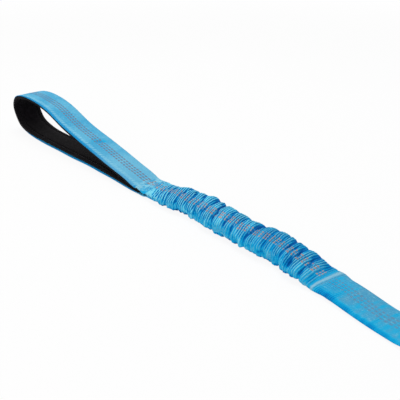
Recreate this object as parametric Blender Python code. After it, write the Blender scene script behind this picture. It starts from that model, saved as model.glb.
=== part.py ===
"""Bungee tug toy: a padded webbing hand loop, a gathered bungee, a strap and a padded bite sleeve.

The toy lies on the ground along X. The hand loop points to -X and the bite sleeve to +X, +Y is across
the webbing and the ground is z = 0. The origin is on the ground under the middle of the webbing, at the
seam where the hand loop's two strands meet.
"""

import math

import bmesh
import bpy
from mathutils import Matrix, Vector

MM = 0.001

# How square a rounded section is: 2 is an ellipse, and sewn-flat cloth is nearly a rectangle
round_power = 2
stuffed_power = 2.3
soft_power = 2.6
flat_power = 5
bore_power = 6
slot_power = 12

# Turns, in degrees, at which the sleeve's round nose has a section
nose_turns = (54, 36, 18)

# Edges that bend further than this stay sharp in the shading
sharp_angle = math.radians(50)

# Running gap between pieces that touch
gap = 0.3 * MM

# Webbing, the same on the hand loop and the strap
webbing_width = 25.0 * MM
webbing_thickness = 1.2 * MM

# Hand loop: its reach from the seam, its height off the ground and the sewn neck in front of the seam
handle_length = 210.8 * MM
handle_height = 38.6 * MM
neck_length = 10.0 * MM
elastic_tail_thickness = 3.0 * MM
elastic_tail_width = 17.0 * MM

# The loop's top line from the seam to the ground, as shares of its length and of its height over the neck
loop_shares = (
    (0.172, 0.18),
    (0.345, 0.38),
    (0.517, 0.60),
    (0.670, 0.87),
    (0.800, 1.0),
    (0.903, 0.95),
    (0.982, 0.73),
    (0.998, 0.39),
)
loop_low_shares = (
    (0.945, 0.13),
    (0.875, 0.03),
    (0.790, 0.0),
    (0.600, 0.01),
    (0.300, 0.04),
    (0.050, 0.0),
)
loop_points_per_span = 7

# Foam pad inside the loop
pad_width = 24.2 * MM
pad_thickness = 2.4 * MM
pad_setback = 2.0 * MM
pad_seam_inset = 3.6 * MM

# Sewing thread, laid up as a raised row
thread_width = 0.8 * MM
thread_height = 0.4 * MM
bar_tack_length = 18.0 * MM
bar_tack_count = 3

# Gathered sleeve round the elastic cords
sleeve_length = 152.4 * MM
sleeve_width = 28.8 * MM
sleeve_height = 12.8 * MM
sleeve_start_width = 20.0 * MM
sleeve_fill_out = 32.0 * MM
sleeve_draw_in = 20.0 * MM
rib_count = 64
rib_depth = 0.9 * MM
fold_depth = 1.2 * MM
fold_width = 2.6 * MM
fold_shares = (
    *(0.093, 0.157, 0.232, 0.289, 0.349, 0.413, 0.497, 0.551),
    *(0.638, 0.719, 0.785, 0.828, 0.884, 0.936, 0.976),
)
sleeve_flat = 0.5 * MM
sleeve_sides = 16

# Elastic cords inside the sleeve
cord_diameter = 6.0 * MM
cord_cover_wall = 0.5 * MM
cord_spread = 6.8 * MM
cord_end_flatness_share = 0.40
cord_sides = 12
cord_end_steps = 5

# Sewn band that ends the sleeve, and the sideways turn of all that follows
band_length = 5.0 * MM
band_height = 4.2 * MM
band_tail_thickness = 2.0 * MM
band_steps = 4
strap_turn = math.radians(6.5)

# Strap from the band to the bite sleeve: flat on the ground, then a rise to the sleeve's mouth
strap_thickness = 2.4 * MM
strap_flat_length = 52.0 * MM
strap_rise_length = 46.0 * MM
strap_rise_steps = 14
strap_nose_steps = 3

# Bite sleeve
bite_length = 200.0 * MM
bite_diameter = 38.0 * MM
bite_flat = 0.5 * MM
bite_mouth_width = 40.0 * MM
bite_taper_length = 46.0 * MM
jacket_wall = 1.4 * MM
tail_shown = 4.0 * MM
tail_length = 26.0 * MM
bite_end_width = 46.0 * MM
bite_end_thickness = 4.0 * MM
bite_sewn_length = 11.0 * MM
bite_sides = 24
bite_taper_steps = 7
binding_thickness = 1.2 * MM
bite_seam_inset = 5.0 * MM

# Worked out from the values above
neck_height = 2 * (webbing_thickness + gap) + elastic_tail_thickness
sleeve_pivot = Vector((neck_length + gap + neck_height / 2, 0, neck_height / 2))
sleeve_end = sleeve_pivot.x + sleeve_length
band_start = sleeve_end + gap
bite_axis_height = bite_diameter / 2 - bite_flat
binding_depth = bite_sewn_length - gap


def clear_scene():
    for old in list(bpy.data.objects):
        bpy.data.objects.remove(old, do_unlink=True)


def finish(name, colour, roughness):
    """A plain material with the colour and roughness of one finish."""
    made = bpy.data.materials.new(name)
    made.use_nodes = True
    shader = made.node_tree.nodes["Principled BSDF"]
    shader.inputs["Base Color"].default_value = (*colour, 1.0)
    shader.inputs["Roughness"].default_value = roughness
    shader.inputs["Metallic"].default_value = 0.0
    return made


def pivot(name, place, turn, collection):
    """An empty on a joint's axis, which carries the pieces that move with the joint."""
    made = bpy.data.objects.new(name, None)
    made.location = place
    made.rotation_euler = (0, 0, turn)
    collection.objects.link(made)
    return made


def carried(piece, carrier):
    """Hangs a piece on a pivot, leaving its mesh in the carrier's own frame."""
    if carrier is not None:
        piece.parent = carrier
    return piece


def smooth_line(points, steps):
    """A Catmull-Rom curve through the points, with the same number of steps in each span."""
    ends = [points[0] * 2 - points[1], *points, points[-1] * 2 - points[-2]]
    line = []
    for before, start, stop, after in zip(ends, ends[1:], ends[2:], ends[3:]):
        for step in range(steps):
            t = step / steps
            line.append(
                (
                    start * 2
                    + (stop - before) * t
                    + (before * 2 - start * 5 + stop * 4 - after) * t**2
                    + (start * 3 - before - stop * 3 + after) * t**3
                )
                / 2
            )
    line.append(points[-1])
    return line


def moved_aside(line, distances):
    """The line moved to its left by a distance at each point."""
    aside = []
    for i, point in enumerate(line):
        run = line[min(i + 1, len(line) - 1)] - line[max(i - 1, 0)]
        left = Vector((-run.y, run.x)).normalized()
        aside.append(point + left * distances[i])
    return aside


def ribbon(name, outline, width, across, material, carrier, collection):
    """A band whose side view is the outline in X and Z, extruded across in Y about a middle."""
    shape = bpy.data.curves.new(name, "CURVE")
    shape.dimensions = "2D"
    shape.fill_mode = "BOTH"
    shape.extrude = width / 2
    path = shape.splines.new("POLY")
    path.points.add(len(outline) - 1)
    for point, place in zip(path.points, outline):
        point.co = (place.x, place.y, 0, 1)
    path.use_cyclic_u = True
    piece = bpy.data.objects.new(name, shape)
    piece.rotation_euler = (math.pi / 2, 0, 0)
    piece.location = (0, across, 0)
    shape.materials.append(material)
    collection.objects.link(piece)
    return carried(piece, carrier)


def block(name, low, high, material, carrier, collection):
    """A box between two corners."""
    mesh = bpy.data.meshes.new(name)
    body = bmesh.new()
    size = high - low
    place = Matrix.Translation((low + high) / 2) @ Matrix.Diagonal((*size, 1))
    bmesh.ops.create_cube(body, size=1.0, matrix=place)
    body.to_mesh(mesh)
    body.free()
    mesh.materials.append(material)
    piece = bpy.data.objects.new(name, mesh)
    collection.objects.link(piece)
    return carried(piece, carrier)


def ring(place, along, half_width, half_height, sides, power, ground=None):
    """A rounded section square to the run: power 2 is an ellipse and a higher one is squarer."""
    side = Vector((0, 0, 1)).cross(along).normalized()
    up = along.cross(side)
    points = []
    for k in range(sides):
        angle = 2 * math.pi * (k + 0.5) / sides
        c, s = math.cos(angle), math.sin(angle)
        point = place + side * half_width * math.copysign(abs(c) ** (2 / power), c)
        point += up * half_height * math.copysign(abs(s) ** (2 / power), s)
        if ground is not None:
            point.z = max(point.z, ground)
        points.append(point)
    return points


def skin(body, rings, inward):
    """Triangles between each ring and the next, all split the same way, facing out or into a bore."""
    rows = [[body.verts.new(point) for point in points] for points in rings]
    for row, following in zip(rows, rows[1:]):
        for k in range(len(row)):
            n = (k + 1) % len(row)
            for corners in ((row[k], row[n], following[n]), (row[k], following[n], following[k])):
                body.faces.new(corners[::-1] if inward else corners)
    return rows


def loft(name, rings, material, carrier, collection, bore=None, closed_end=False):
    """A solid through unlike sections, with a bore through it, or a pocket where its far end is closed."""
    body = bmesh.new()
    outer = skin(body, rings, inward=False)
    if bore is None:
        body.faces.new(outer[0][::-1])
        body.faces.new(outer[-1])
    else:
        inner = skin(body, bore, inward=True)
        count = len(inner[0])
        for k in range(count):
            n = (k + 1) % count
            body.faces.new((outer[0][k], inner[0][k], inner[0][n], outer[0][n]))
            if not closed_end:
                body.faces.new((outer[-1][k], outer[-1][n], inner[-1][n], inner[-1][k]))
        if closed_end:
            body.faces.new(outer[-1])
            body.faces.new(inner[-1][::-1])
    mesh = bpy.data.meshes.new(name)
    body.to_mesh(mesh)
    body.free()
    mesh.shade_smooth()
    mesh.set_sharp_from_angle(angle=sharp_angle)
    mesh.materials.append(material)
    piece = bpy.data.objects.new(name, mesh)
    collection.objects.link(piece)
    return carried(piece, carrier)


def eased(share):
    """Runs from 0 to 1 with level ends."""
    share = min(max(share, 0.0), 1.0)
    return share * share * (3 - 2 * share)


def loop_line():
    """The webbing's outer line: neck, up over the top strand, round the tip and back along the ground."""
    rise = handle_height - neck_height
    points = [Vector((0, neck_height))]
    points += [Vector((-x * handle_length, neck_height + z * rise)) for x, z in loop_shares]
    points += [Vector((-x * handle_length, z * handle_height)) for x, z in loop_low_shares]
    points.append(Vector((0, 0)))
    line = smooth_line(points, loop_points_per_span)
    line = [Vector((point.x, max(point.y, 0))) for point in line]
    return [Vector((neck_length, neck_height)), *line, Vector((neck_length, 0))]


def height_on(strand, x):
    """The height of a strand of the loop at x."""
    for start, stop in zip(strand, strand[1:]):
        if min(start.x, stop.x) <= x <= max(start.x, stop.x):
            share = (x - start.x) / (stop.x - start.x) if stop.x != start.x else 0
            return start.y + (stop.y - start.y) * share
    return strand[-1].y


def strand_rooms(line):
    """Half of the space left between the two strands at each point's x, less a gap.

    Past the middle of the loop the strands are far apart, and the pad there has all the room it needs.
    """
    tip = min(range(len(line)), key=lambda i: line[i].x)
    upper, lower = line[: tip + 1], line[tip:]
    taken = 2 * (webbing_thickness + gap) + gap
    rooms = []
    for point in line:
        if point.x < -handle_length / 2:
            rooms.append(handle_height / 2)
        else:
            rooms.append((height_on(upper, point.x) - height_on(lower, point.x) - taken) / 2)
    return rooms


def make_handle(collection, cloth, foam, thread, dark_thread, elastic):
    line = loop_line()
    inner = moved_aside(line, [webbing_thickness] * len(line))
    ribbon("handle_webbing", line + inner[::-1], webbing_width, 0, cloth, None, collection)

    seat = webbing_thickness + gap
    rooms = strand_rooms(line)
    depths = [min(pad_thickness, room) for room in rooms]
    back = moved_aside(line, [seat] * len(line))
    face = moved_aside(line, [seat + depth for depth in depths])
    padded = [i for i, point in enumerate(line) if point.x <= -pad_setback]
    outline = [back[i] for i in padded] + [face[i] for i in reversed(padded)]
    ribbon("handle_pad", outline, pad_width, 0, foam, None, collection)

    under = moved_aside(line, [seat + pad_thickness + gap] * len(line))
    over = moved_aside(line, [seat + pad_thickness + gap + thread_height] * len(line))
    sewn = [i for i in padded if rooms[i] > pad_thickness + gap + thread_height + gap]
    outline = [under[i] for i in sewn] + [over[i] for i in reversed(sewn)]
    for name, side in (("pad_seam_left", 1), ("pad_seam_right", -1)):
        across = side * (pad_width / 2 - pad_seam_inset)
        ribbon(name, outline, thread_width, across, dark_thread, None, collection)

    low = Vector((-pad_setback + gap, -elastic_tail_width / 2, seat))
    high = Vector((neck_length - gap, elastic_tail_width / 2, seat + elastic_tail_thickness))
    block("elastic_tail_near", low, high, elastic, None, collection)
    make_bar_tack(collection, thread)


def thread_bar(name, place, length, thread, carrier, collection):
    """One row of stitches across the webbing, as a raised bar about a middle."""
    half = Vector((thread_width, length, thread_height)) / 2
    return block(name, place - half, place + half, thread, carrier, collection)


def make_bar_tack(collection, thread):
    """Bars of dense stitches across the top of the neck."""
    for bar in range(bar_tack_count):
        x = neck_length * (bar + 1) / (bar_tack_count + 1)
        place = Vector((x, 0, neck_height + gap + thread_height / 2))
        thread_bar(f"neck_bar_tack_{bar + 1}", place, bar_tack_length, thread, None, collection)


def sleeve_swell(x):
    """How far the sleeve has swelled from each sewn end, from 0 to 1."""
    return eased((x - sleeve_pivot.x) / sleeve_fill_out), eased((sleeve_end - x) / sleeve_draw_in)


def sleeve_size(x):
    """The gathered sleeve's mean half width and half height at x, in the ground's frame."""
    out, back = sleeve_swell(x)
    start_width = sleeve_start_width / 2
    end_width = webbing_width / 2
    full_width = sleeve_width / 2
    half_width = start_width + (full_width - start_width) * out
    half_width -= (full_width - end_width) * (1 - back)
    full_height = sleeve_height / 2
    half_height = neck_height / 2 + (full_height - neck_height / 2) * out
    half_height -= (full_height - band_height / 2) * (1 - back)
    return half_width, half_height


def fold(x):
    """1 at the bottom of a deep fold and 0 past its width: the folds part the ribs into puffs."""
    places = [sleeve_pivot.x + share * sleeve_length for share in fold_shares]
    return max(1 - eased(abs(x - place) / fold_width) for place in places)


def sleeve_room(x):
    """0 at the sleeve's sewn ends and 1 between them, where the cords are round and the cloth is loose."""
    return min(sleeve_swell(x))


def sleeve_middle(x):
    """The middle of the sleeve at x, set down so that the ground cuts its gathers flat."""
    return Vector((x, 0, sleeve_size(x)[1] - sleeve_flat * sleeve_room(x)))


def sleeve_rings():
    """The sleeve's sections: a round nose on the pivot, then a crest and a hollow for each rib."""
    along = Vector((1, 0, 0))
    nose_radius = neck_height / 2
    rings = []
    for degrees in nose_turns:
        angle = math.radians(degrees)
        middle = Vector((sleeve_pivot.x - nose_radius * math.sin(angle), 0, nose_radius))
        half_width = sleeve_start_width / 2
        half_height = nose_radius * math.cos(angle)
        rings.append(ring(middle, along, half_width, half_height, sleeve_sides, soft_power, 0))
    pitch = sleeve_length / (rib_count + 0.5)
    for step in range(2 * rib_count + 2):
        x = sleeve_pivot.x + step * pitch / 2
        half_width, half_height = sleeve_size(x)
        depth = sleeve_room(x) * (fold_depth * fold(x) + rib_depth * (step % 2))
        half_width -= depth
        half_height -= depth
        rings.append(ring(sleeve_middle(x), along, half_width, half_height, sleeve_sides, soft_power, 0))
    return rings


def cord_flatness(x):
    """The share of its round height that a cord keeps at x: it is sewn flat at both ends."""
    return cord_end_flatness_share + (1 - cord_end_flatness_share) * sleeve_room(x)


def cord_stations():
    """Where the cords and the bore round them have a section."""
    start = sleeve_pivot.x - neck_height / 2 * math.sin(math.radians(nose_turns[0]))
    shares = [step / cord_end_steps for step in range(cord_end_steps + 1)]
    near = [sleeve_pivot.x + share * sleeve_fill_out for share in shares]
    far = [sleeve_end - share * sleeve_draw_in for share in reversed(shares)]
    return [start, *near, *far]


def make_bungee(collection, carrier, cloth, elastic, rubber):
    along = Vector((1, 0, 0))
    stations = cord_stations()
    bore = []
    for x in stations:
        half_width = (cord_spread + cord_diameter) / 2 + gap
        half_height = cord_diameter / 2 * cord_flatness(x) + gap
        bore.append(ring(sleeve_middle(x), along, half_width, half_height, sleeve_sides, bore_power))
    pieces = [loft("gathered_sleeve", sleeve_rings(), cloth, carrier, collection, bore)]

    cover_radius = cord_diameter / 2
    lining_radius = cover_radius - cord_cover_wall
    rubber_radius = lining_radius - gap
    for name, side in (("left", 1), ("right", -1)):
        outer, lining, core = (
            [
                ring(
                    sleeve_middle(x) + Vector((0, side * cord_spread / 2, 0)),
                    along,
                    radius,
                    radius - cover_radius * (1 - cord_flatness(x)),
                    cord_sides,
                    round_power,
                )
                for x in stations
            ]
            for radius in (cover_radius, lining_radius, rubber_radius)
        )
        pieces.append(loft("cord_cover_" + name, outer, elastic, carrier, collection, lining))
        pieces.append(loft("cord_rubber_" + name, core, rubber, carrier, collection))
    for piece in pieces:
        piece.location = -sleeve_pivot


def band_path():
    """The band's sections, which turn sideways from the sleeve's run to the strap's."""
    place = Vector((band_start, 0, band_height / 2))
    sections = []
    for step in range(band_steps + 1):
        heading = -strap_turn * eased(step / band_steps)
        along = Vector((math.cos(heading), math.sin(heading), 0))
        if step:
            place = place + along * band_length / band_steps
        sections.append((place.copy(), along))
    return sections


def make_band(collection, carrier, cloth, elastic):
    outer, slot, tail = (
        [ring(place, along, half_width, half_height, sleeve_sides, power) for place, along in band_path()]
        for half_width, half_height, power in (
            (webbing_width / 2, band_height / 2, flat_power),
            (elastic_tail_width / 2 + gap, band_tail_thickness / 2 + gap, slot_power),
            (elastic_tail_width / 2, band_tail_thickness / 2, slot_power),
        )
    )
    for piece in (
        loft("sleeve_end_band", outer, cloth, carrier, collection, slot),
        loft("elastic_tail_far", tail, elastic, carrier, collection),
    ):
        piece.location = -carrier.location


def strap_outline():
    """The strap's side view about its first pivot: flat, an eased rise, and a round nose at each end."""
    rise = bite_axis_height - strap_thickness / 2
    line = [Vector((0, 0)), Vector((strap_flat_length, 0))]
    for step in range(1, strap_rise_steps + 1):
        share = step / strap_rise_steps
        line.append(Vector((strap_flat_length + strap_rise_length * share, rise * eased(share))))
    half = strap_thickness / 2
    over = moved_aside(line, [half] * len(line))
    under = moved_aside(line, [-half] * len(line))
    turns = [math.pi / 2 * (1 - step / strap_nose_steps) for step in range(1, 2 * strap_nose_steps)]
    far = [line[-1] + Vector((math.cos(turn), math.sin(turn))) * half for turn in turns]
    near = [Vector((-math.cos(turn), -math.sin(turn))) * half for turn in turns]
    return over + far + under[::-1] + near


def bite_size(u):
    """The jacket's outer half width and half height at a distance u from its mouth."""
    round_radius = bite_diameter / 2
    mouth = (bite_mouth_width / 2, strap_thickness / 2 + gap + jacket_wall)
    end = (bite_end_width / 2, bite_end_thickness / 2)
    near = eased((u - tail_length + tail_shown) / bite_taper_length)
    far = eased((bite_length - bite_sewn_length - u) / bite_taper_length)
    half_width = mouth[0] + (round_radius - mouth[0]) * near + (end[0] - round_radius) * (1 - far)
    half_height = mouth[1] + (round_radius - mouth[1]) * near + (end[1] - round_radius) * (1 - far)
    return half_width, half_height


def bite_stations(start, stop):
    """Distances from the mouth where the jacket or its filling has a section."""
    inset = tail_length - tail_shown
    near = [inset + bite_taper_length * step / bite_taper_steps for step in range(bite_taper_steps + 1)]
    last = bite_length - bite_sewn_length
    far = [last - bite_taper_length * step / bite_taper_steps for step in range(bite_taper_steps, -1, -1)]
    return [start, *[u for u in near + far if start + gap < u < stop - gap], stop]


def make_bite_sleeve(collection, carrier, cloth, canvas, filling, thread):
    along = Vector((1, 0, 0))
    nose = strap_thickness / 2 + gap
    mouth = nose + tail_shown
    ground = -bite_axis_height
    half_tail = strap_thickness / 2

    low = Vector((nose, -webbing_width / 2, -half_tail))
    high = Vector((nose + tail_length, webbing_width / 2, half_tail))
    block("strap_tail", low, high, cloth, carrier, collection)

    outside = []
    for u in bite_stations(0, bite_length):
        place = Vector((mouth + u, 0, 0))
        outside.append(ring(place, along, *bite_size(u), bite_sides, stuffed_power, ground))
    slot_end = tail_length - tail_shown + gap
    inset = jacket_wall + gap
    lining = []
    core = []
    for u in bite_stations(0, bite_length - bite_sewn_length):
        place = Vector((mouth + u, 0, 0))
        if u <= slot_end:
            slot = (webbing_width / 2 + gap, half_tail + gap)
            lining.append(ring(place, along, *slot, bite_sides, slot_power))
            continue
        half_width, half_height = bite_size(u)
        wall = (half_width - jacket_wall, half_height - jacket_wall)
        fill = (half_width - inset, half_height - inset)
        lining.append(ring(place, along, *wall, bite_sides, stuffed_power, ground + jacket_wall))
        core.append(ring(place, along, *fill, bite_sides, stuffed_power, ground + inset))
    core[-1] = [point - along * gap for point in core[-1]]
    loft("bite_jacket", outside, canvas, carrier, collection, lining, closed_end=True)
    loft("bite_filling", core, filling, carrier, collection)

    make_bite_trim(collection, carrier, cloth, thread, mouth)


def make_bite_trim(collection, carrier, cloth, thread, mouth):
    """The binding folded over the far end, and rows of thread across the mouth and the binding."""
    end = mouth + bite_length
    inner = bite_end_thickness / 2 + gap
    outer = inner + binding_thickness
    start = end - binding_depth
    outline = [
        Vector((start, inner)),
        Vector((end + gap, inner)),
        Vector((end + gap, -inner)),
        Vector((start, -inner)),
        Vector((start, -outer)),
        Vector((end + gap + binding_thickness, -outer)),
        Vector((end + gap + binding_thickness, outer)),
        Vector((start, outer)),
    ]
    ribbon("end_binding", outline, bite_end_width, 0, cloth, carrier, collection)

    above = gap + thread_height / 2
    mouth_face = bite_size(0)[1] + above
    end_row = bite_end_width - 2 * bite_seam_inset
    for name, side in (("top", 1), ("underside", -1)):
        at_mouth = Vector((mouth + bite_seam_inset, 0, side * mouth_face))
        at_end = Vector((start + binding_depth / 2, 0, side * (outer + above)))
        thread_bar("mouth_seam_" + name, at_mouth, webbing_width, thread, carrier, collection)
        thread_bar("end_seam_" + name, at_end, end_row, thread, carrier, collection)


def main():
    clear_scene()
    collection = bpy.data.collections.new("bungee_tug_toy")
    bpy.context.scene.collection.children.link(collection)

    cloth = finish("woven_webbing", (0.10, 0.42, 0.70), 0.62)
    foam = finish("neoprene_pad", (0.012, 0.011, 0.013), 0.85)
    thread = finish("polyester_thread", (0.12, 0.45, 0.72), 0.55)
    dark_thread = finish("dark_thread", (0.02, 0.02, 0.022), 0.6)
    elastic = finish("elastic_braid", (0.03, 0.03, 0.035), 0.70)
    rubber = finish("natural_rubber", (0.62, 0.52, 0.36), 0.60)
    canvas = finish("nylon_canvas", (0.02, 0.02, 0.023), 0.75)
    filling = finish("fibre_filling", (0.75, 0.73, 0.68), 0.95)

    make_handle(collection, cloth, foam, thread, dark_thread, elastic)

    bungee = pivot("handle_fold_axis", sleeve_pivot, 0, collection)
    make_bungee(collection, bungee, cloth, elastic, rubber)

    band = pivot("bungee_stretch_guide", Vector((band_start, 0, 0)), 0, collection)
    make_band(collection, band, cloth, elastic)

    place, along = band_path()[-1]
    strap_pivot = place + along * (gap + strap_thickness / 2)
    strap_pivot.z = strap_thickness / 2
    strap = pivot("strap_fold_axis", strap_pivot, -strap_turn, collection)
    ribbon("strap_webbing", strap_outline(), webbing_width, 0, cloth, strap, collection)

    bite_pivot = strap_pivot + along * (strap_flat_length + strap_rise_length)
    bite_pivot.z = bite_axis_height
    bite = pivot("bite_fold_axis", bite_pivot, -strap_turn, collection)
    make_bite_sleeve(collection, bite, cloth, canvas, filling, dark_thread)


main()
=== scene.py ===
import math

import bmesh
import bpy
import numpy as np
from mathutils import Matrix, Vector
from mathutils.bvhtree import BVHTree


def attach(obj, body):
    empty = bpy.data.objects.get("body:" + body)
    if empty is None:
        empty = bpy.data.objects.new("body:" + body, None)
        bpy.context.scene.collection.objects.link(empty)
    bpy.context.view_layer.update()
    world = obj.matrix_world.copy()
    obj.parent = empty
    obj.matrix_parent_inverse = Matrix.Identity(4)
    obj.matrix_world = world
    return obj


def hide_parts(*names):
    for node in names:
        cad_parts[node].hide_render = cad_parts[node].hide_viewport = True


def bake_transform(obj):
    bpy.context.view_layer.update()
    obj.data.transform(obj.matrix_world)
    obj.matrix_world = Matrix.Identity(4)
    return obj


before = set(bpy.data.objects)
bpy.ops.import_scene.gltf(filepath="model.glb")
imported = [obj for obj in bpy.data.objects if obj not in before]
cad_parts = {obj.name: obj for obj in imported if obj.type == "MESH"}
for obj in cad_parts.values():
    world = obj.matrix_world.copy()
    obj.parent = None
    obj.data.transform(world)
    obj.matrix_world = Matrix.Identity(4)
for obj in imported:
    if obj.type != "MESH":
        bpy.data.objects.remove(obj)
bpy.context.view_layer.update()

MM = 0.001

# Sizes and places in millimetres, the same as the solids'
cloth_half = 12.5
cloth_thick = 1.2
loop_length = 210.8
loop_height = 38.6
neck_length = 10.0
neck_height = 6.0
pad_half = 12.1
pad_thick = 2.4
pad_gap = 0.3
fold_axis = 13.3
sleeve_end = 165.7
band_length = 5.3
band_half_height = 2.1
band_end = (170.984, -0.354)
strap_turn = math.radians(6.5)
strap_low = 1.2
bite_fold_at = 99.5
bite_mouth_at = 105.0
bite_length = 200.0
bite_radius = 19.0
bite_axis = 18.5

# The loop's cloth lies flat up to the first place, and passes into the gathered sleeve at the second
flat_end = -14.0
loop_cloth_end = 26.0

# The sleeve's rows are this far apart, and so are the loop's at the neck
fine_row = 0.2

# The gathers lie this deep in the ground, which flattens them
ground_cut = 0.5

# An ellipse's section bent by this power turns into a rounded box
tube_bend = 2 / 2.6

# The pad's seams lie this far from its middle line
pad_groove = 8.5

# The band's cloth is wider than the strap's and lies to the near side, and the strap starts like it
band_spread = 0.7
band_aside = -0.8

# The tracer yarns lie 2.6 mm apart and show every 3.66 mm of cloth, which is every second or third rib
tracer_spacing = 2.6
tracer_pitch = 3.66
cloth_per_rib = 1.5

# The gathers' colours: their ground, the painted highlight on their crests and their tracer dashes, which
# the loop's cloth takes on at the neck
gathered_ground = "#4AB8DF"
gathered_highlight = "#78D8EF"
gathered_tracer = "#B5A09A"


# Materials


def colour(code):
    """An sRGB hex colour as a linear one."""
    parts = [int(code[i : i + 2], 16) / 255 for i in (1, 3, 5)]
    return [*(c / 12.92 if c <= 0.04045 else ((c + 0.055) / 1.055) ** 2.4 for c in parts), 1.0]


def add(tree, kind, inputs=(), out=0, **settings):
    """Adds a node and gives one of its outputs. An input is a value, or an output to link."""
    made = tree.nodes.new("ShaderNode" + kind)
    for name, value in settings.items():
        setattr(made, name, value)
    for name, value in inputs.items() if isinstance(inputs, dict) else enumerate(inputs):
        if isinstance(value, bpy.types.NodeSocket):
            tree.links.new(value, made.inputs[name])
        else:
            made.inputs[name].default_value = value
    return made.outputs[out] if len(made.outputs) else made


def skin(roughness, shine, sheen=0.0):
    """How a surface takes the light."""
    return {"Roughness": roughness, "Specular IOR Level": shine, "Sheen Weight": sheen}


def noise(tree, scale, detail):
    """Soft noise in space that stays with the piece."""
    place = add(tree, "TexCoord", out="Object")
    return add(tree, "TexNoise", {"Vector": place, "Scale": scale, "Detail": detail})


def emptied(owner):
    """The nodes of a material or a world, with none left in."""
    owner.use_nodes = True
    owner.node_tree.nodes.clear()
    return owner.node_tree


def finished(name, surface, colour_of, height_of, strength, depth):
    """A material: its shader's fixed values, and nodes for its colour and for its fine relief."""
    made = bpy.data.materials.new(name)
    tree = emptied(made)
    bump = {"Height": height_of(tree), "Strength": strength, "Distance": depth}
    inputs = {**surface, "Base Color": colour_of(tree), "Normal": add(tree, "Bump", bump)}
    add(tree, "OutputMaterial", {"Surface": add(tree, "BsdfPrincipled", inputs)})
    return made


def laid_over(tree, ground, layers):
    """Colours laid over a ground, one after the other.

    Each has the most that it covers, and some measured values, each with where it leaves the colour out and
    where it lets it in.
    """
    tint = colour(ground)
    for code, most, *bounds in layers:
        share = most
        for value, out_at, in_at in bounds:
            part = add(tree, "MapRange", (value, out_at, in_at), interpolation_type="SMOOTHSTEP")
            share = add(tree, "Math", (share, part), operation="MULTIPLY")
        tint = add(tree, "Mix", {0: share, 6: tint, 7: colour(code)}, out=2, data_type="RGBA")
    return tint


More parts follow.
